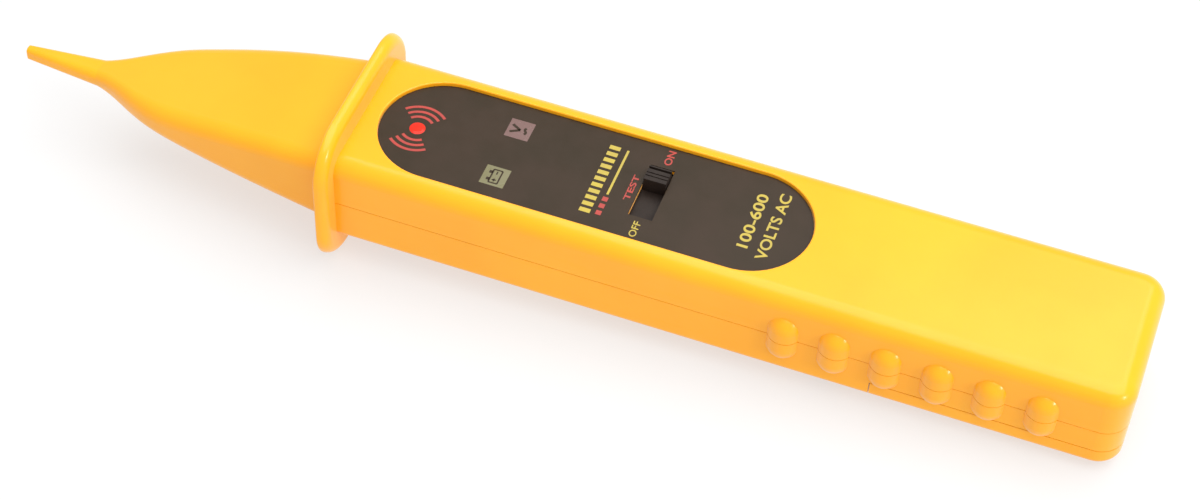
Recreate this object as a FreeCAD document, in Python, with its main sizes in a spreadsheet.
import FreeCAD, Part
import Sketcher
import math
import os
import re
from FreeCAD import Vector

# A hand-held non contact voltage tester: a hollow probe nose with a finger guard, a two-part case
# with grip studs, a slide switch, an indicator lamp and a compartment for a nine volt battery.
# While it is drawn, X runs from the guard's back face (X = 0) to the tail, Y = 0 is the middle of
# the width and Z = 0 is the underside. Every finished sub-part is then placed half a case length
# forward, so that the origin is the middle of the underside.

PLACED_AT = "-case_length / 2"
LABEL_TOP = "case_height - label_recess"
LABEL_FLOOR = LABEL_TOP + " - label_thickness"

SIZES = {
    # How far one feature runs into the next, how far a cut runs past a surface, and how far it
    # runs past a whole wall
    "join": 0.2, "past": 1, "well_past": 6,
    # Case: two shells that meet at the parting height
    "case_length": 170, "case_width": 36, "case_height": 22, "wall": 2, "parting_height": 10.3,
    "top_edge_radius": 3.8, "bottom_edge_radius": 1.8, "tail_corner_radius": 5.5, "lip_inset": 1.1,
    "lip_height": 1.3, "rebate_inset": 1, "rebate_height": 1.5, "fit_gap": 0.1, "slide_gap": 0.2,
    "seam_width": 0.15, "seam_depth": 0.25,
    # Grip studs: one upright capsule in each place, half sunk in the side wall
    "grip_count": 6, "grip_pitch": 10.82, "grip_first": 98.9, "grip_radius": 3.75,
    "grip_stand_out": 1.9, "grip_low_centre": 7.5, "grip_high_centre": 12.9,
    # Finger guard
    "guard_width": 45.6, "guard_height": 36, "guard_low": -7.7, "guard_thickness": 2.7,
    "guard_corner_radius": 10.5, "front_rim_radius": 0.45, "back_rim_radius": 2.2,
    # Nose and the spigot that locks it between the shells
    "nose_wall": 1.8, "nose_corner_radius": 3.4, "tip_edge_radius": 0.3, "spigot_length": 6,
    "spigot_root": 1, "spigot_bore_start": -4, "lock_start": 3, "lock_width": 1.2,
    "lock_depth": 0.8,
    # Sensing rod in the nose, its sleeve and its lead
    "sensor_height": 8.1, "sensor_start": -79.5, "sensor_end": -26, "sensor_radius": 0.6,
    "sleeve_radius": 1.1, "sleeve_start": -39.5, "sensor_lead_radius": 0.45, "sensor_joint": 10.2,
    "lead_bend_radius": 2, "rod_end_gap": 0.5, "rod_side_gap": 0.05, "bare_rod_length": 4,
    # Front label, a thin panel let into the top
    "label_start": 3.7, "label_end": 98.55, "label_radius": 13.75, "label_thickness": 0.3,
    "label_gap": 0.1, "label_recess": 0.9, "recess_lip_radius": 0.3,
    # Indicator lamp and its lens
    "lamp_from_guard": 11.9, "lamp_offset": -0.85, "lens_radius": 1.7, "lens_flange_radius": 2.6,
    "lens_flange_thickness": 0.8, "lens_crown": 0.15, "lens_shoulder": 0.12, "lens_top_share": 0.6,
    "lamp_radius": 1.5, "lamp_top": 18.9, "lamp_foot": 14.5, "lamp_rim_radius": 1.9,
    "lamp_rim_thickness": 0.8, "lamp_lead_size": 0.5, "lead_hole_radius": 0.4,
    "lamp_lead_spacing": 2.54, "pin_end_height": 9.8,
    # Two small square windows that guide light up from lamps on the board
    "window_from_guard": 32.1, "voltage_window_offset": 6.8, "battery_window_offset": -7.5,
    "window_size": 5.3, "opening_gap": 0.05, "flange_thickness": 1, "flange_half_thickness": 0.5,
    "window_flange": 0.6, "window_foot": 14.2, "window_foot_size": 3, "board_lamp_length": 3.2,
    "board_lamp_width": 1.6, "board_lamp_height": 1.2,
    # Slide switch, drawn with its knob at the ON end
    "switch_from_guard": 63.85, "slot_width": 5.3, "slot_low": -7.1, "slot_high": 7.7,
    "knob_rest": 4, "knob_length": 4.1, "knob_side_gap": 0.2, "knob_top": 22.8,
    "knob_groove_depth": 0.2, "knob_groove_width": 0.3, "knob_groove_pitch": 0.9,
    "knob_notch_start": 1.1, "knob_notch_width": 0.6, "knob_notch_depth": 0.8,
    "shutter_half_length": 11.65, "shutter_half_width": 3.7, "shutter_low": 18.3,
    "shutter_thickness": 0.9, "switch_travel": 8, "can_half_width": 4, "can_low": -9.6,
    "can_high": 8.9, "can_height": 5, "can_sheet": 0.5, "stub_width": 2.6, "stub_length": 3,
    "stub_top": 20.4, "socket_top": 20.6, "stub_side_gap": 0.3, "stub_end_gap": 0.35,
    "carriage_side_gap": 0.4, "carriage_half_length": 3.6, "carriage_low": 14.9,
    "carriage_high": 16.8, "wiper_low": 14.5, "wiper_half_width": 2, "wiper_half_length": 3,
    "switch_base_height": 1.6, "switch_pin_size": 0.8, "switch_pin_pitch": 4.2,
    "switch_pin_row": 2.5,
    # Circuit board and what is soldered to it
    "board_front": 8, "board_back": 103, "board_half_width": 15, "board_low": 11,
    "board_thickness": 1.6, "board_nose_half_width": 8.5, "board_notch_end": 15.6,
    "chip_from_guard": 45, "chip_offset": 4, "chip_length": 8.7, "chip_width": 3.9,
    "chip_height": 1.6, "chip_lift": 0.1, "chip_leg_size": 0.4, "chip_leg_pitch": 1.27,
    "chip_leg_reach": 1.1, "chip_leg_height": 0.6, "resistor_length": 2, "resistor_width": 1.25,
    "resistor_height": 0.5, "capacitor_radius": 2.5, "capacitor_height": 5.5,
    "capacitor_from_guard": 76, "capacitor_pitch": 6.6, "capacitor_offset": 7,
    "transistor_radius": 2.3, "transistor_height": 4.6, "transistor_from_guard": 46,
    "transistor_offset": -8, "transistor_pitch": 6, "transistor_flat": 1.4,
    "trimmer_from_guard": 88, "trimmer_offset": -8, "trimmer_size": 6.6, "trimmer_height": 4,
    "trimmer_radius": 2.4, "trimmer_slot": 0.7, "trimmer_rise": 0.6, "trimmer_slot_past": 0.1,
    "pin_gap": 0.05,
    # Sounder under the board
    "buzzer_from_guard": 91, "buzzer_radius": 8.5, "buzzer_wall": 1, "buzzer_low": 3.2,
    "buzzer_high": 10.2, "buzzer_disc_low": 5, "buzzer_disc_thickness": 0.4, "buzzer_pin_offset": 4,
    "buzzer_pin_radius": 0.4, "sound_hole_radius": 1, "sound_ring_radius": 4.5,
    "sound_hole_count": 6,
    # Screws
    "screw_front": 11.4, "screw_back": 107.6, "screw_offset": 12.9, "post_radius": 3.3,
    "boss_radius": 2.9, "screw_radius": 1.3, "screw_hole_radius": 1.5, "screw_head_radius": 2.5,
    "screw_head_height": 1.8, "counterbore_radius": 2.8, "counterbore_top": 5,
    "screw_tip_height": 16.5, "screw_recess_depth": 0.9, "screw_recess_width": 0.7,
    "screw_recess_share": 0.7, "thread_gap": 0.02, "tip_gap": 0.5, "board_screw_front": 22,
    "board_screw_back": 98, "board_screw_offset": 12.4, "board_boss_radius": 2.3,
    "board_screw_radius": 1, "board_hole_radius": 1.15, "board_head_radius": 2,
    "board_head_height": 1.3, "board_recess_depth": 0.63, "board_screw_tip_height": 17.5,
    # Battery, its snap connector and its compartment
    "battery_front": 120.6, "battery_length": 46.4, "battery_width": 26.5,
    "battery_thickness": 17.5, "battery_low": 2.3, "battery_edge_radius": 1.6,
    "terminal_offset": 6.35, "terminal_height": 2, "stud_radius": 2.9, "socket_radius": 4.2,
    "snap_plate_front": 115.4, "snap_plate_thickness": 1.8, "snap_plate_length": 23,
    "snap_plate_width": 11, "snap_base_thickness": 0.6, "snap_gap": 0.3, "wire_radius": 0.65,
    "wire_offset": 3, "wire_height": 14.4, "wire_joint": 100.5, "wire_bend_radius": 1.5,
    "divider_front": 112.8, "divider_thickness": 1.2, "foam_thickness": 0.95, "foam_width": 20,
    "foam_low": 5.2, "foam_high": 17.5,
    # Battery door, which slides off towards the tail on two rails of the lower shell
    "door_start": 118, "door_height": 4.3, "rail_inner": 14.8, "rail_outer": 15.7,
    "rail_bead": 16.6, "rail_low": 2.9, "bead_top": 3.7, "rail_high": 6, "rail_start": 119.5,
    "rail_end": 163.5, "groove_depth": 0.9, "groove_low": 2.7, "groove_high": 3.9,
    "tongue_front": 114.6, "tongue_back": 120.2, "tongue_low": 1.1, "ledge_top": 0.9,
    "tongue_inner": 5, "tongue_outer": 11, "door_rib_count": 5, "door_rib_pitch": 2.4,
    "door_rib_width": 1, "door_rib_depth": 0.5, "door_rib_length": 16, "door_rib_start": 124,
}

# Nose stations, back to front: distance ahead of the guard's back face, half width, lowest and
# highest point of the section. The last two are the ends of the slender probe tip.
NOSE_STATIONS = [
    (1, 17, 1, 20.8), (16, 15.8, 2.8, 19), (30, 14.1, 4.1, 16.8), (41, 12.3, 5, 14.6),
    (50, 9.7, 5.5, 12.9), (57, 6.1, 5.6, 11.6), (64, 3, 5.8, 10.3), (82, 1.1, 6.3, 9.6),
]
HOLLOW_STATIONS = 4
STATION_SIZES = ("ahead", "half", "low", "high")

RESISTOR_PLACES = [(22, -4), (22, 0), (22, 4), (40, -8), (40, -5), (52, 6), (52, 9), (56, 0),
                   (56, -4), (73, -9), (73, -6), (80, -10), (80, -7), (95, 0)]

doc = FreeCAD.newDocument("VoltageTester")
sheet = doc.addObject("Spreadsheet::Sheet", "Sizes")
sub_parts = []


# ---- Sheet, expressions and small helpers ----

def fill_sheet():
    sizes = dict(SIZES)
    for number, station in enumerate(NOSE_STATIONS):
        for word, value in zip(STATION_SIZES, station):
            sizes[f"station_{number}_{word}"] = value
    for row, (alias, value) in enumerate(sizes.items(), start=1):
        sheet.set(f"A{row}", alias)
        sheet.set(f"B{row}", str(value))
        sheet.setAlias(f"B{row}", alias)
    doc.recompute()


def size(alias):
    return float(sheet.get(alias))


def expression(text):
    """The text with every word in it read as an alias of the sheet."""
    return re.sub(r"[a-z][a-z0-9_]*", lambda word: "Sizes." + word.group(), str(text))


def bind(item, name, text):
    item.setExpression(name, expression(text))


def finish(item, label):
    item.Label = label
    bind(item, "Placement.Base.x", PLACED_AT)
    sub_parts.append(item)
    return item


def new_body(name):
    return doc.addObject("PartDesign::Body", name + "_body")


def bind_spans(item, spans):
    for name, axis, (low, high) in zip(("Length", "Width", "Height"), "xyz", spans):
        bind(item, name, f"({high}) - ({low})")
        bind(item, f"Placement.Base.{axis}", low)
    return item


def bind_rod(item, centre, radius, along):
    """A cylinder from its centre line's start to its end, upright or along X."""
    (low, high) = centre["xyz".index(along)]
    if along == "x":
        item.Placement.Rotation = FreeCAD.Rotation(Vector(0, 1, 0), 90)
    bind(item, "Radius", radius)
    bind(item, "Height", f"({high}) - ({low})")
    for axis, place in zip("xyz", centre):
        bind(item, f"Placement.Base.{axis}", low if axis == along else place)
    return item


def block(body, name, span_x, span_y, span_z, cut=False):
    kind = "PartDesign::SubtractiveBox" if cut else "PartDesign::AdditiveBox"
    return bind_spans(body.newObject(kind, name), (span_x, span_y, span_z))


def rod(body, name, x, y, z, radius, along="z", cut=False):
    kind = "PartDesign::SubtractiveCylinder" if cut else "PartDesign::AdditiveCylinder"
    return bind_rod(body.newObject(kind, name), (x, y, z), radius, along)


def loose_block(name, span_x, span_y, span_z):
    return bind_spans(doc.addObject("Part::Box", name), (span_x, span_y, span_z))


def loose_rod(name, x, y, z, radius, along="z"):
    return bind_rod(doc.addObject("Part::Cylinder", name), (x, y, z), radius, along)


def around(middle, half):
    return (f"{middle} - ({half})", f"{middle} + ({half})")


def group(label, pieces):
    """One sub-part of one or more separate solids."""
    together = doc.addObject("Part::Compound", label + "_group")
    together.Links = pieces
    return finish(together, label)


def cut_from(name, base, tool):
    result = doc.addObject("Part::Cut", name)
    result.Base = base
    result.Tool = tool
    return result


def fused(name, pieces):
    result = doc.addObject("Part::MultiFuse", name)
    result.Shapes = pieces
    return result


def spread(edge, axis):
    """The lowest and highest coordinate of an edge along an axis, 0 to 2."""
    box = edge.BoundBox
    return ((box.XMin, box.XMax), (box.YMin, box.YMax), (box.ZMin, box.ZMax))[axis]


def lies_at(edge, axis, place):
    return all(abs(value - place) < 1e-4 for value in spread(edge, axis))


def runs_along_x(edge):
    return lies_at(edge, 1, edge.BoundBox.YMin) and lies_at(edge, 2, edge.BoundBox.ZMin)


def round_edges(body, name, radius, chosen):
    doc.recompute()
    base = body.Tip
    names = [f"Edge{number}" for number, edge in enumerate(base.Shape.Edges, start=1) if chosen(edge)]
    fillet = body.newObject("PartDesign::Fillet", name)
    fillet.Base = (base, names)
    bind(fillet, "Radius", radius)
    return fillet


def repeat_along_x(body, name, originals, pitch, count):
    pattern = body.newObject("PartDesign::LinearPattern", name)
    pattern.Originals = originals
    pattern.Direction = (origin_feature(body, "X_Axis"), [""])
    bind(pattern, "Length", f"({pitch}) * ({count} - 1)")
    bind(pattern, "Occurrences", count)
    body.Tip = pattern
    return pattern


def origin_feature(body, role):
    return next(item for item in body.Origin.OriginFeatures if item.Role == role)


def new_sketch(body, name, plane):
    sketch = body.newObject("Sketcher::SketchObject", name)
    sketch.AttachmentSupport = [(origin_feature(body, plane), "")]
    sketch.MapMode = "FlatFace"
    return sketch


def draw_outline(sketch, corners):
    """A closed outline of straight edges through corners that are pairs of expressions."""
    count = len(corners)
    starts = [Vector(10 * math.cos(2 * math.pi * n / count), 10 * math.sin(2 * math.pi * n / count), 0)
              for n in range(count)]
    for n in range(count):
        sketch.addGeometry(Part.LineSegment(starts[n], starts[(n + 1) % count]), False)
    for n in range(count):
        sketch.addConstraint(Sketcher.Constraint("Coincident", n, 2, (n + 1) % count, 1))
    for n, corner in enumerate(corners):
        for kind, start, text in zip(("DistanceX", "DistanceY"), starts[n], corner):
            number = sketch.addConstraint(Sketcher.Constraint(kind, n, 1, start))
            bind(sketch, f"Constraints[{number}]", text)
    return sketch


def turned(label, outline, x, y):
    """A sub-part turned about an upright line at x and y; the outline is of radius and height."""
    body = new_body(label)
    sketch = draw_outline(new_sketch(body, label + "_profile", "XZ_Plane"), outline)
    turn = body.newObject("PartDesign::Revolution", label + "_turn")
    turn.Profile = sketch
    turn.ReferenceAxis = (sketch, ["V_Axis"])
    turn.Angle = 360
    bind(body, "Placement.Base.x", f"({PLACED_AT}) + ({x})")
    bind(body, "Placement.Base.y", y)
    body.Label = label
    sub_parts.append(body)
    return body


# ---- Case ----

def case_block(body, name, front, inset, low, high, cut=False):
    """The case's plan, drawn in by an inset, with its tail corners rounded to match."""
    half = f"case_width / 2 - {inset}"
    turn_x, turn_y = "case_length - tail_corner_radius", "case_width / 2 - tail_corner_radius"
    block(body, name, (front, turn_x), (f"-({half})", half), (low, high), cut)
    block(body, name + "_tail", (turn_x, f"case_length - {inset}"), (f"-({turn_y})", turn_y),
          (low, high), cut)
    for side, sign in (("left", "-"), ("right", "")):
        rod(body, f"{name}_corner_{side}", turn_x, f"{sign}({turn_y})", (low, high),
            f"tail_corner_radius - {inset}", cut=cut)


def grip_studs(body, low, high, ball):
    """The rows of studs on both sides between two heights, with a round end at one of them."""
    for side, sign in (("left", "-1"), ("right", "1")):
        line = f"{sign} * (case_width / 2 + grip_stand_out - grip_radius)"
        shaft = rod(body, f"stud_shaft_{side}", "grip_first", line, (low, high), "grip_radius")
        end = body.newObject("PartDesign::AdditiveSphere", f"stud_end_{side}")
        bind(end, "Radius", "grip_radius")
        for axis, place in zip("xyz", ("grip_first", line, ball)):
            bind(end, f"Placement.Base.{axis}", place)
        end.Angle1 = 0 if ball == "grip_high_centre" else -90
        end.Angle2 = 90 if ball == "grip_high_centre" else 0
        repeat_along_x(body, f"stud_row_{side}", [shaft, end], "grip_pitch", "grip_count")


def screw_places(front, back, offset):
    for place, x in (("front", front), ("back", back)):
        for side, y in (("left", "-" + offset), ("right", offset)):
            yield f"{place}_{side}", x, y


def lock_rib(body, low, high, inner_low, inner_high):
    """The rib inside a shell that drops into the groove round the nose's spigot."""
    inner = "case_width / 2 - wall"
    block(body, "lock_rib", ("lock_start", "lock_start + lock_width"),
          (f"-({inner}) - join", f"{inner} + join"), (low, high))
    opening = f"{inner} - lock_depth"
    block(body, "lock_opening", ("lock_start - past", "lock_start + lock_width + past"),
          (f"-({opening})", opening), (inner_low, inner_high), cut=True)


def upper_shell():
    body = new_body("upper_shell")
    above_seam = "parting_height + seam_width"
    case_block(body, "outside", "0", "0", above_seam, "case_height")
    top = size("case_height")
    round_edges(body, "top_edges", "top_edge_radius",
                lambda edge: lies_at(edge, 2, top) and not lies_at(edge, 0, 0))
    grip_studs(body, above_seam, "grip_high_centre", "grip_high_centre")
    case_block(body, "seam_land", "0", "seam_depth", "parting_height", f"{above_seam} + seam_width")
    ceiling = "case_height - wall"
    case_block(body, "inside", "-past", "wall", "parting_height - well_past", ceiling, cut=True)
    case_block(body, "rebate", "-past", "rebate_inset", "parting_height - well_past",
               "parting_height + rebate_height", cut=True)
    lock_rib(body, "parting_height + rebate_height", f"{ceiling} + join", "parting_height - past",
             f"{ceiling} - lock_depth")
    for place, x, y in screw_places("screw_front", "screw_back", "screw_offset"):
        rod(body, "boss_" + place, x, y, ("parting_height", f"{ceiling} + join"), "boss_radius")
        rod(body, "boss_hole_" + place, x, y, ("parting_height - past", "screw_tip_height + 2 * tip_gap"),
            "screw_radius + thread_gap", cut=True)
    board_top = "board_low + board_thickness"
    for place, x, y in screw_places("board_screw_front", "board_screw_back", "board_screw_offset"):
        rod(body, "board_boss_" + place, x, y, (board_top, f"{ceiling} + join"), "board_boss_radius")
        rod(body, "board_boss_hole_" + place, x, y,
            (f"{board_top} - past", "board_screw_tip_height + tip_gap"),
            "board_screw_radius + thread_gap", cut=True)
    label_shape(body, LABEL_FLOOR, "case_height + past", "label_radius + label_gap", cut=True)
    first, last = size("label_start") - size("past"), size("label_end") + size("past")

    def on_recess_lip(edge):
        return lies_at(edge, 2, top) and first < spread(edge, 0)[0] < spread(edge, 0)[1] < last

    round_edges(body, "recess_lip", "recess_lip_radius", on_recess_lip)
    opening_cuts(body, f"{ceiling} - past", "opening_gap")
    return finish(body, "upper_shell")


def label_shape(body, low, high, radius, cut=False):
    """A flat panel with round ends: cut into the upper shell for the label, or built up as the label."""
    first, last = "label_start + label_radius", "label_end - label_radius"
    block(body, "panel_middle", (first, last), (f"-({radius})", radius), (low, high), cut)
    rod(body, "panel_front", first, "0", (low, high), radius, cut=cut)
    rod(body, "panel_back", last, "0", (low, high), radius, cut=cut)


def opening_cuts(body, low, gap):
    """Holes for the lens, the two windows and the switch knob, down to a height."""
    heights = (low, "case_height + past")
    rod(body, "lens_hole", "lamp_from_guard", "lamp_offset", heights, f"lens_radius + {gap}", cut=True)
    half = f"window_size / 2 + {gap}"
    for name in ("voltage_window", "battery_window"):
        block(body, name + "_hole", around("window_from_guard", half), around(name + "_offset", half),
              heights, cut=True)
    block(body, "knob_slot", around("switch_from_guard", "slot_width / 2"), ("slot_low", "slot_high"),
          heights, cut=True)


def lower_shell():
    body = new_body("lower_shell")
    case_block(body, "outside", "0", "0", "0", "parting_height")
    round_edges(body, "bottom_edges", "bottom_edge_radius",
                lambda edge: lies_at(edge, 2, 0) and not lies_at(edge, 0, 0))
    grip_studs(body, "grip_low_centre", "parting_height", "grip_low_centre")
    case_block(body, "lip", "0", "lip_inset", "parting_height - past", "parting_height + lip_height")
    case_block(body, "inside", "-past", "wall", "wall", "parting_height + well_past", cut=True)
    lock_rib(body, "wall - join", "parting_height", "wall + lock_depth", "parting_height + well_past")
    for place, x, y in screw_places("screw_front", "screw_back", "screw_offset"):
        rod(body, "post_" + place, x, y, ("wall / 2", "parting_height"), "post_radius")
        rod(body, "post_hole_" + place, x, y, ("-past", "parting_height + well_past"), "screw_hole_radius",
            cut=True)
        rod(body, "counterbore_" + place, x, y, ("-past", "counterbore_top"), "counterbore_radius", cut=True)
    inner = "case_width / 2 - wall"
    block(body, "divider", ("divider_front", "divider_front + divider_thickness"),
          (f"-({inner}) - join", f"{inner} + join"), ("wall - join", "parting_height"))
    block(body, "door_opening", ("door_start", "case_length + past"), ("-case_width", "case_width"),
          ("-past", "door_height + slide_gap"), cut=True)
    for side, ends in (("left", ("-tongue_outer - slide_gap", "-tongue_inner + slide_gap")),
                       ("right", ("tongue_inner - slide_gap", "tongue_outer + slide_gap"))):
        block(body, "tongue_recess_" + side, ("tongue_front - slide_gap", "door_start + past"), ends,
              ("ledge_top", "wall + join"), cut=True)
    door_rails(body, inner)
    sound_holes(body)
    return finish(body, "lower_shell")


def door_rails(body, inner):
    """Hooked rails that hang into the battery door on each side."""
    for side, sign in (("left", "-"), ("right", "")):
        def strip(name, near, far, low, high):
            ends = (f"{sign}({near})", f"{sign}({far})")
            block(body, f"rail_{name}_{side}", ("rail_start", "rail_end"),
                  ends if sign == "" else ends[::-1], (low, high))
        strip("ledge", "rail_inner", f"{inner} + join", "door_height + slide_gap", "rail_high")
        strip("web", "rail_inner", "rail_outer", "rail_low", "rail_high")
        strip("bead", "rail_inner", "rail_bead", "rail_low", "bead_top")


def sound_holes(body):
    """A ring of holes and one in the middle, under the sounder."""
    heights = ("-past", "wall + join")
    rod(body, "sound_hole_middle", "buzzer_from_guard", "0", heights, "sound_hole_radius", cut=True)
    count = int(size("sound_hole_count"))
    for number in range(count):
        turn = math.radians(360 * number / count)
        rod(body, f"sound_hole_{number}",
            f"buzzer_from_guard + sound_ring_radius * {math.cos(turn):.4f}",
            f"sound_ring_radius * {math.sin(turn):.4f}", heights, "sound_hole_radius", cut=True)


def battery_door():
    body = new_body("battery_door")
    front = "door_start + slide_gap"
    case_block(body, "outside", front, "0", "0", "door_height")
    door_front = size("door_start") + size("slide_gap")
    round_edges(body, "bottom_edges", "bottom_edge_radius",
                lambda edge: lies_at(edge, 2, 0) and not lies_at(edge, 0, door_front))
    case_block(body, "inside", "door_start - past", "wall", "wall", "door_height + past", cut=True)
    inner = "case_width / 2 - wall"
    for side, ends in (("left", (f"-({inner}) - groove_depth", f"-({inner}) + past")),
                       ("right", (f"{inner} - past", f"{inner} + groove_depth"))):
        block(body, "rail_groove_" + side, ("door_start - past", "rail_end + slide_gap"), ends,
              ("groove_low", "groove_high"), cut=True)
    for side, ends in (("left", ("-tongue_outer", "-tongue_inner")),
                       ("right", ("tongue_inner", "tongue_outer"))):
        block(body, "tongue_" + side, ("tongue_front", "tongue_back"), ends, ("tongue_low", "wall"))
    rib = block(body, "finger_groove", ("door_rib_start", "door_rib_start + door_rib_width"),
                around("0", "door_rib_length / 2"), ("-past", "door_rib_depth"), cut=True)
    repeat_along_x(body, "finger_grooves", [rib], "door_rib_pitch", "door_rib_count")
    return finish(body, "battery_door")


# ---- Nose and sensor ----

def station(number, inset=0.0):
    """A station's section as a closed wire: a rectangle with round corners across the X axis."""
    ahead, half, low, high = (size(f"station_{number}_{word}") for word in STATION_SIZES)
    half, low, high = half - inset, low + inset, high - inset
    radius = min(size("nose_corner_radius"), 0.42 * (high - low), 0.85 * half)
    corners = [(half, high, 0), (-half, high, 90), (-half, low, 180), (half, low, 270)]
    arcs = []
    for y, z, turn in corners:
        middle_y, middle_z = y - math.copysign(radius, y), z - (radius if z == high else -radius)
        points = [Vector(-ahead, middle_y + radius * math.cos(math.radians(turn + step)),
                         middle_z + radius * math.sin(math.radians(turn + step))) for step in (0, 45, 90)]
        arcs.append(Part.Arc(*points).toShape())
    edges = []
    for arc, following in zip(arcs, arcs[1:] + arcs[:1]):
        edges.append(arc)
        edges.append(Part.LineSegment(arc.Vertexes[-1].Point, following.Vertexes[0].Point).toShape())
    return Part.Wire(edges)


def lofted(name, numbers, inset=0.0):
    sections = []
    for number in numbers:
        section = doc.addObject("Part::Feature", f"{name}_section_{number}")
        section.Shape = station(number, inset)
        sections.append(section)
    loft = doc.addObject("Part::Loft", name)
    loft.Sections = sections
    loft.Solid = True
    return loft


def probe_tip():
    tip = len(NOSE_STATIONS) - 1
    taper = lofted("tip_taper", (tip - 1, tip))
    doc.recompute()
    end = -size(f"station_{tip}_ahead")
    radius = size("tip_edge_radius")
    rounded = doc.addObject("Part::Fillet", "probe_tip")
    rounded.Base = taper
    rounded.Edges = [(number, radius, radius) for number, edge in enumerate(taper.Shape.Edges, start=1)
                     if lies_at(edge, 0, end)]
    return rounded


def guard_plate():
    body = new_body("guard")
    block(body, "plate", ("-guard_thickness", "0"), around("0", "guard_width / 2"),
          ("guard_low", "guard_low + guard_height"))
    round_edges(body, "plate_corners", "guard_corner_radius",
                runs_along_x)
    thickness = size("guard_thickness")
    round_edges(body, "front_rim", "front_rim_radius", lambda edge: lies_at(edge, 0, -thickness))
    round_edges(body, "back_rim", "back_rim_radius", lambda edge: lies_at(edge, 0, 0))
    return body


def nose_cone():
    outside = lofted("nose_outside", range(len(NOSE_STATIONS) - 1))
    inner, gap = "case_width / 2 - wall", "fit_gap"
    low, high = "wall + fit_gap", "case_height - wall - fit_gap"
    spigot = loose_block("spigot", ("-spigot_root", "spigot_length"), around("0", f"{inner} - {gap}"),
                         (low, high))
    moulding = fused("nose_moulding", [outside, probe_tip(), guard_plate(), spigot])
    hollow = lofted("nose_hollow", range(HOLLOW_STATIONS), size("nose_wall"))
    bore = f"{inner} - {gap} - nose_wall"
    passage = loose_block("spigot_bore", ("spigot_bore_start", "spigot_length + past"), around("0", bore),
                          (f"{low} + nose_wall", f"{high} - nose_wall"))
    channel = loose_rod("sensor_channel", ("sensor_start - rod_end_gap", "sensor_end"), "0",
                        "sensor_height", "sensor_radius + rod_side_gap", along="x")
    lock_ring = loose_block("lock_ring", ("lock_start - fit_gap", "lock_start + lock_width + fit_gap"),
                            around("0", f"{inner} + past"), ("wall - past", "case_height - wall + past"))
    lock_core = loose_block("lock_core", ("lock_start - past", "lock_start + lock_width + past"),
                            around("0", f"{inner} - lock_depth - {gap}"),
                            (f"{low} + lock_depth", f"{high} - lock_depth"))
    groove = cut_from("lock_groove", lock_ring, lock_core)
    tools = fused("nose_cuts", [hollow, passage, channel, groove])
    return finish(cut_from("nose_cut", moulding, tools), "nose_cone")


def sensing_rod():
    return group("sensing_rod", [loose_rod("sensing_rod_wire", ("sensor_start", "sensor_end"), "0",
                                           "sensor_height", "sensor_radius", along="x")])


def rod_sleeve():
    ends = ("sleeve_start", "sensor_end - bare_rod_length")
    return finish(cut_from("rod_sleeve_tube",
                           loose_rod("sleeve_outside", ends, "0", "sensor_height", "sleeve_radius", "x"),
                           loose_rod("sleeve_inside", ends, "0", "sensor_height", "sensor_radius", "x")),
                  "rod_sleeve")


def bent_wire(label, start, bend_x, rise, end_z, radius, bend):
    """A wire along X from start to bend_x, then round a quarter turn and up or down to end_z."""
    along = math.copysign(1, bend_x - start.x)
    turn_start = Vector(bend_x - along * bend, start.y, start.z)
    turn_middle = turn_start + Vector(along * bend * math.sin(math.pi / 4), 0,
                                      rise * bend * (1 - math.cos(math.pi / 4)))
    turn_end = Vector(bend_x, start.y, start.z + rise * bend)
    path = Part.Wire([Part.LineSegment(start, turn_start).toShape(),
                      Part.Arc(turn_start, turn_middle, turn_end).toShape(),
                      Part.LineSegment(turn_end, Vector(bend_x, start.y, end_z)).toShape()])
    rim = Part.Wire([Part.Circle(start, Vector(1, 0, 0), radius).toShape()])
    wire = doc.addObject("Part::Feature", label + "_wire")
    wire.Shape = path.makePipeShell([rim], True, True)
    return finish(wire, label)


def sensor_lead():
    height = size("sensor_height")
    return bent_wire("sensor_lead", Vector(size("sensor_end"), 0, height), size("sensor_joint"), 1,
                     size("board_low"), size("sensor_lead_radius"), size("lead_bend_radius"))


# ---- Label, lens and windows ----

def label_panel():
    body = new_body("label_panel")
    label_shape(body, LABEL_FLOOR, LABEL_TOP, "label_radius")
    opening_cuts(body, f"{LABEL_FLOOR} - past", "0")
    return finish(body, "label_panel")


def indicator_lens():
    ceiling = "case_height - wall"
    return turned("indicator_lens",
                  [("0", f"{ceiling} - lens_flange_thickness"),
                   ("lens_flange_radius", f"{ceiling} - lens_flange_thickness"),
                   ("lens_flange_radius", ceiling), ("lens_radius", ceiling),
                   ("lens_radius", LABEL_TOP),
                   ("lens_radius * lens_top_share", f"{LABEL_TOP} + lens_shoulder"),
                   ("0", f"{LABEL_TOP} + lens_crown")],
                  "lamp_from_guard", "lamp_offset")


def light_window(label):
    offset, ceiling = label + "_offset", "case_height - wall"
    body = new_body(label)
    block(body, "pane", around("window_from_guard", "window_size / 2"),
          around(offset, "window_size / 2"), (f"{ceiling} - flange_half_thickness", LABEL_TOP))
    block(body, "flange", around("window_from_guard", "window_size / 2 + window_flange"),
          around(offset, "window_size / 2 + window_flange"), (f"{ceiling} - flange_thickness", ceiling))
    block(body, "guide", around("window_from_guard", "window_foot_size / 2"),
          around(offset, "window_foot_size / 2"), ("window_foot", f"{ceiling} - flange_half_thickness"))
    return finish(body, label)


# ---- Lamps ----

def indicator_led():
    steps = 4
    dome = [(f"lamp_radius * {math.cos(turn):.4f}", f"lamp_top - lamp_radius * {1 - math.sin(turn):.4f}")
            for turn in (math.pi / 2 * step / steps for step in range(steps))]
    return turned("indicator_led",
                  [("0", "lamp_foot"), ("lamp_rim_radius", "lamp_foot"),
                   ("lamp_rim_radius", "lamp_foot + lamp_rim_thickness"),
                   ("lamp_radius", "lamp_foot + lamp_rim_thickness")] + dome + [("0", "lamp_top")],
                  "lamp_from_guard", "lamp_offset")


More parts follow.
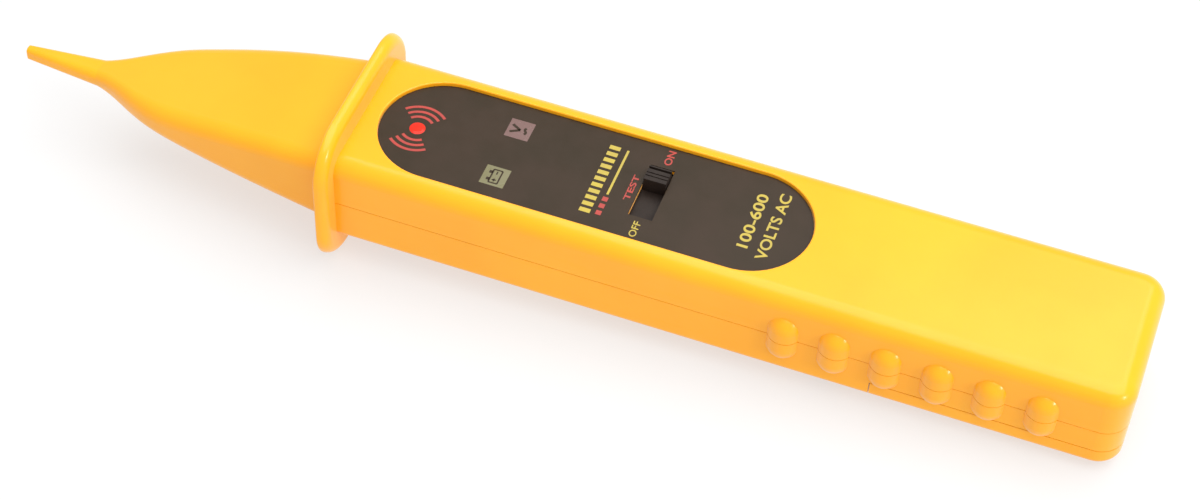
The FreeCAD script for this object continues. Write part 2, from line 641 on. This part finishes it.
def led_leads():
    leads = []
    for name, sign in (("long", "-"), ("short", "+")):
        leads.append(loose_block("led_lead_" + name,
                                 around("lamp_from_guard", "lamp_lead_size / 2"),
                                 around(f"lamp_offset {sign} lamp_lead_spacing / 2", "lamp_lead_size / 2"),
                                 ("pin_end_height", "lamp_foot")))
    return group("led_leads", leads)


def window_leds():
    top = "board_low + board_thickness"
    return group("window_leds", [
        loose_block(name + "_lamp", around("window_from_guard", "board_lamp_length / 2"),
                    around(name + "_offset", "board_lamp_width / 2"), (top, f"{top} + board_lamp_height"))
        for name in ("voltage_window", "battery_window")])


# ---- Slide switch ----

def switch_knob():
    body = new_body("switch_knob")
    half = "slot_width / 2 - knob_side_gap"
    block(body, "shutter", around("switch_from_guard", "shutter_half_width"),
          around("knob_rest", "shutter_half_length"), ("shutter_low", "shutter_low + shutter_thickness"))
    block(body, "grip", around("switch_from_guard", half), around("knob_rest", "knob_length / 2"),
          ("shutter_low", "knob_top"))
    for number in range(2):
        middle = f"knob_rest - knob_groove_pitch * {number}"
        block(body, f"grip_groove_{number}", around("switch_from_guard", f"{half} + past"),
              around(middle, "knob_groove_width / 2"), ("knob_top - knob_groove_depth", "knob_top + past"),
              cut=True)
    notch = "knob_rest + knob_notch_start"
    block(body, "grip_notch", around("switch_from_guard", f"{half} + past"),
          (notch, f"{notch} + knob_notch_width"), ("knob_top - knob_notch_depth", "knob_top + past"),
          cut=True)
    block(body, "stub_socket", around("switch_from_guard", "stub_width / 2 + fit_gap / 2"),
          around("knob_rest", "stub_length / 2 + fit_gap / 2"), ("shutter_low - past", "socket_top"),
          cut=True)
    return finish(body, "switch_knob")


def switch_carriage():
    body = new_body("switch_carriage")
    block(body, "slider", around("switch_from_guard", "can_half_width - can_sheet - carriage_side_gap"),
          around("knob_rest", "carriage_half_length"), ("carriage_low", "carriage_high"))
    block(body, "stub", around("switch_from_guard", "stub_width / 2"),
          around("knob_rest", "stub_length / 2"), ("carriage_low", "stub_top"))
    return finish(body, "switch_carriage")


def switch_wiper():
    return group("switch_wiper", [
        loose_block("switch_wiper_strip", around("switch_from_guard", "wiper_half_width"),
                    around("knob_rest", "wiper_half_length"), ("wiper_low", "carriage_low"))])


def switch_can():
    body = new_body("switch_can")
    top = "board_low + board_thickness"
    block(body, "outside", around("switch_from_guard", "can_half_width"), ("can_low", "can_high"),
          (top, f"{top} + can_height"))
    block(body, "inside", around("switch_from_guard", "can_half_width - can_sheet"),
          ("can_low + can_sheet", "can_high - can_sheet"),
          (f"{top} - past", f"{top} + can_height - can_sheet"), cut=True)
    reach = "stub_length / 2 + stub_end_gap"
    block(body, "stub_slot", around("switch_from_guard", "stub_width / 2 + stub_side_gap"),
          (f"knob_rest - switch_travel - ({reach})", f"knob_rest + {reach}"),
          (top, f"{top} + can_height + past"), cut=True)
    return finish(body, "switch_can")


def switch_base():
    top = "board_low + board_thickness"
    return group("switch_base", [
        loose_block("switch_base_plate", around("switch_from_guard", "can_half_width - can_sheet"),
                    ("can_low + can_sheet", "can_high - can_sheet"), (top, f"{top} + switch_base_height"))])


def switch_pin_places():
    middle = "(can_low + can_high) / 2"
    for row in ("-", "+"):
        for number in (-1.5, -0.5, 0.5, 1.5):
            yield f"switch_from_guard {row} switch_pin_row", f"{middle} + switch_pin_pitch * {number}"


def switch_pins():
    half = "switch_pin_size / 2"
    return group("switch_pins", [
        loose_block(f"switch_pin_{number}", around(x, half), around(y, half),
                    ("pin_end_height", "board_low + board_thickness"))
        for number, (x, y) in enumerate(switch_pin_places())])


# ---- Circuit board ----

def circuit_board():
    body = new_body("circuit_board")
    sketch = new_sketch(body, "board_outline", "XY_Plane")
    bind(sketch, "AttachmentOffset.Base.z", "board_low")
    wide, narrow = "board_half_width", "board_nose_half_width"
    draw_outline(sketch, [("board_front", f"-{narrow}"), ("board_notch_end", f"-{narrow}"),
                          ("board_notch_end", f"-{wide}"), ("board_back", f"-{wide}"),
                          ("board_back", wide), ("board_notch_end", wide),
                          ("board_notch_end", narrow), ("board_front", narrow)])
    pad = body.newObject("PartDesign::Pad", "board_sheet")
    pad.Profile = sketch
    bind(pad, "Length", "board_thickness")
    heights = ("board_low - past", "board_low + board_thickness + past")
    for place, x, y in screw_places("board_screw_front", "board_screw_back", "board_screw_offset"):
        rod(body, "screw_hole_" + place, x, y, heights, "board_hole_radius", cut=True)
    for number, (x, y) in enumerate(switch_pin_places()):
        half = "switch_pin_size / 2 + pin_gap"
        block(body, f"switch_pin_hole_{number}", around(x, half), around(y, half), heights, cut=True)
    for name, sign in (("long", "-"), ("short", "+")):
        rod(body, "led_lead_hole_" + name, "lamp_from_guard",
            f"lamp_offset {sign} lamp_lead_spacing / 2", heights, "lead_hole_radius", cut=True)
    return finish(body, "circuit_board")


def amplifier_chip():
    top = "board_low + board_thickness"
    return group("amplifier_chip", [
        loose_block("chip_block", around("chip_from_guard", "chip_length / 2"),
                    around("chip_offset", "chip_width / 2"), (f"{top} + chip_lift", f"{top} + chip_height"))])


def chip_legs():
    top = "board_low + board_thickness"
    legs = []
    for side, sign in (("near", "-"), ("far", "+")):
        ends = [f"chip_offset {sign} chip_width / 2",
                f"chip_offset {sign} (chip_width / 2 + chip_leg_reach)"]
        for number in range(7):
            middle = f"chip_from_guard + chip_leg_pitch * {number - 3}"
            legs.append(loose_block(f"chip_leg_{side}_{number}", around(middle, "chip_leg_size / 2"),
                                    tuple(ends if sign == "+" else ends[::-1]),
                                    (top, f"{top} + chip_leg_height")))
    return group("chip_legs", legs)


def chip_resistors():
    top = "board_low + board_thickness"
    return group("chip_resistors", [
        loose_block(f"resistor_{number}", around(x, "resistor_length / 2"), around(y, "resistor_width / 2"),
                    (top, f"{top} + resistor_height"))
        for number, (x, y) in enumerate(RESISTOR_PLACES)])


def capacitors():
    top = "board_low + board_thickness"
    return group("capacitors", [
        loose_rod(f"capacitor_{number}", f"capacitor_from_guard + capacitor_pitch * {number}",
                  "capacitor_offset", (top, f"{top} + capacitor_height"), "capacitor_radius")
        for number in range(3)])


def transistors():
    top = "board_low + board_thickness"
    pieces = []
    for number in range(2):
        middle = f"transistor_from_guard + transistor_pitch * {number}"
        can = loose_rod(f"transistor_can_{number}", middle, "transistor_offset",
                        (top, f"{top} + transistor_height"), "transistor_radius")
        flat = loose_block(f"transistor_flat_{number}", around(middle, "transistor_radius + past"),
                           ("transistor_offset - transistor_radius - past",
                            "transistor_offset - transistor_flat"),
                           (f"{top} - past", f"{top} + transistor_height + past"))
        pieces.append(cut_from(f"transistor_{number}", can, flat))
    return group("transistors", pieces)


def sensitivity_trimmer():
    body = new_body("sensitivity_trimmer")
    top = "board_low + board_thickness"
    half = "trimmer_size / 2"
    block(body, "case", around("trimmer_from_guard", half), around("trimmer_offset", half),
          (top, f"{top} + trimmer_height"))
    rod(body, "screw", "trimmer_from_guard", "trimmer_offset",
        (top, f"{top} + trimmer_height + trimmer_rise"), "trimmer_radius")
    block(body, "screw_slot", around("trimmer_from_guard", "trimmer_radius + trimmer_slot_past"),
          around("trimmer_offset", "trimmer_slot / 2"),
          (f"{top} + trimmer_height", f"{top} + trimmer_height + past"), cut=True)
    return finish(body, "sensitivity_trimmer")


# ---- Sounder ----

def buzzer_cup():
    inner = "buzzer_radius - buzzer_wall"
    return turned("buzzer_cup",
                  [("0", "buzzer_high - buzzer_wall"), (inner, "buzzer_high - buzzer_wall"),
                   (inner, "buzzer_low"), ("buzzer_radius", "buzzer_low"),
                   ("buzzer_radius", "buzzer_high"), ("0", "buzzer_high")],
                  "buzzer_from_guard", "0")


def buzzer_disc():
    return group("buzzer_disc", [
        loose_rod("buzzer_plate", "buzzer_from_guard", "0",
                  ("buzzer_disc_low", "buzzer_disc_low + buzzer_disc_thickness"),
                  "buzzer_radius - buzzer_wall")])


def buzzer_pins():
    return group("buzzer_pins", [
        loose_rod("buzzer_pin_" + name, "buzzer_from_guard", f"{sign}buzzer_pin_offset",
                  ("buzzer_high", "board_low"), "buzzer_pin_radius")
        for name, sign in (("left", "-"), ("right", ""))])


# ---- Screws ----

def screws(label, places, tip, neck, shank_radius, head_radius, head_height, recess):
    """Round-headed screws driven in from below, each with a cross recess in its head."""
    pieces = []
    for place, x, y in places:
        shank = loose_rod(f"{label}_shank_{place}", x, y, (neck, tip), shank_radius)
        head = loose_rod(f"{label}_head_{place}", x, y, (f"{neck} - {head_height}", neck), head_radius)
        cuts = []
        for name, wide, deep in (("a", head_radius, "screw_recess_width / 2"),
                                 ("b", "screw_recess_width / 2", head_radius)):
            cuts.append(loose_block(f"{label}_recess_{name}_{place}",
                                    around(x, f"{wide} * screw_recess_share"),
                                    around(y, f"{deep} * screw_recess_share"),
                                    (f"{neck} - {head_height} - past", f"{neck} - {head_height} + {recess}")))
        blank = fused(f"{label}_blank_{place}", [shank, head])
        pieces.append(cut_from(f"{label}_{place}", blank, fused(f"{label}_recess_{place}", cuts)))
    return group(label, pieces)


def case_screws():
    return screws("case_screws", screw_places("screw_front", "screw_back", "screw_offset"),
                  "screw_tip_height", "counterbore_top", "screw_radius", "screw_head_radius",
                  "screw_head_height", "screw_recess_depth")


def board_screws():
    places = screw_places("board_screw_front", "board_screw_back", "board_screw_offset")
    return screws("board_screws", places, "board_screw_tip_height", "board_low", "board_screw_radius",
                  "board_head_radius", "board_head_height", "board_recess_depth")


# ---- Battery and its connector ----

def battery():
    body = new_body("battery")
    block(body, "can", ("battery_front", "battery_front + battery_length"),
          around("0", "battery_width / 2"), ("battery_low", "battery_low + battery_thickness"))
    round_edges(body, "can_edges", "battery_edge_radius",
                runs_along_x)
    return finish(body, "battery")


def ring(name, ends, y, outer, inner):
    height = "battery_low + battery_thickness / 2"
    return cut_from(name, loose_rod(name + "_outside", ends, y, height, outer, "x"),
                    loose_rod(name + "_inside", ends, y, height, inner, "x"))


def battery_terminals():
    ends = ("battery_front - terminal_height", "battery_front")
    height = "battery_low + battery_thickness / 2"
    stud = loose_rod("battery_stud", ends, "-terminal_offset", height, "stud_radius", "x")
    socket = ring("battery_socket", ends, "terminal_offset", "socket_radius", "stud_radius")
    return group("battery_terminals", [stud, socket])


def snap_contacts():
    plate_back = "snap_plate_front + snap_plate_thickness"
    face = f"{plate_back} + snap_base_thickness"
    height = "battery_low + battery_thickness / 2"
    pieces = []
    for name, y, collar in (("socket", "-terminal_offset", True), ("stud", "terminal_offset", False)):
        base = loose_rod(f"snap_{name}_base", (plate_back, face), y, height, "socket_radius", "x")
        ends = (face, "battery_front - snap_gap")
        if collar:
            inside = ring(f"snap_{name}_collar", ends, y, "socket_radius", "stud_radius")
        else:
            inside = loose_rod(f"snap_{name}_post", ends, y, height, "stud_radius", "x")
        pieces.append(fused(f"snap_{name}", [base, inside]))
    return group("snap_contacts", pieces)


def snap_plate():
    body = new_body("snap_plate")
    height = "battery_low + battery_thickness / 2"
    block(body, "plate", ("snap_plate_front", "snap_plate_front + snap_plate_thickness"),
          around("0", "snap_plate_length / 2"), around(height, "snap_plate_width / 2"))
    round_edges(body, "plate_corners", "snap_plate_width / 3",
                runs_along_x)
    return finish(body, "snap_plate")


def battery_lead(label, side):
    start = Vector(size("snap_plate_front"), side * size("wire_offset"), size("wire_height"))
    return bent_wire(label, start, size("wire_joint"), -1, size("board_low") + size("board_thickness"),
                     size("wire_radius"), size("wire_bend_radius"))


def foam_pad():
    return group("foam_pad", [
        loose_block("foam_sheet", ("case_length - wall - foam_thickness", "case_length - wall"),
                    around("0", "foam_width / 2"), ("foam_low", "foam_high"))])


# ---- Build, check and write ----

def build():
    fill_sheet()
    nose_cone()
    sensing_rod()
    rod_sleeve()
    sensor_lead()
    upper_shell()
    lower_shell()
    battery_door()
    label_panel()
    indicator_lens()
    light_window("voltage_window")
    light_window("battery_window")
    indicator_led()
    led_leads()
    window_leds()
    switch_knob()
    switch_carriage()
    switch_wiper()
    switch_can()
    switch_base()
    switch_pins()
    circuit_board()
    amplifier_chip()
    chip_legs()
    chip_resistors()
    capacitors()
    transistors()
    sensitivity_trimmer()
    buzzer_cup()
    buzzer_disc()
    buzzer_pins()
    case_screws()
    board_screws()
    battery()
    battery_terminals()
    snap_plate()
    snap_contacts()
    battery_lead("battery_lead_red", 1)
    battery_lead("battery_lead_black", -1)
    foam_pad()
    doc.recompute()


def check():
    for item in doc.Objects:
        if "Invalid" in item.State or "Error" in item.State:
            raise RuntimeError(f"{item.Name} did not compute: {item.State}")
    for item in sub_parts:
        if item.Shape.isNull() or not item.Shape.isValid() or not item.Shape.Solids:
            raise RuntimeError(f"{item.Label} has no valid solid")


def write():
    os.makedirs("parts", exist_ok=True)
    for item in sub_parts:
        item.Shape.exportStep(f"parts/{item.Label}.step")
        box = item.Shape.BoundBox
        print(f"{item.Label}: {len(item.Shape.Solids)} solids, {item.Shape.Volume:.1f} mm3, "
              f"{box.XLength:.1f} x {box.YLength:.1f} x {box.ZLength:.1f} mm")


build()
check()
write()
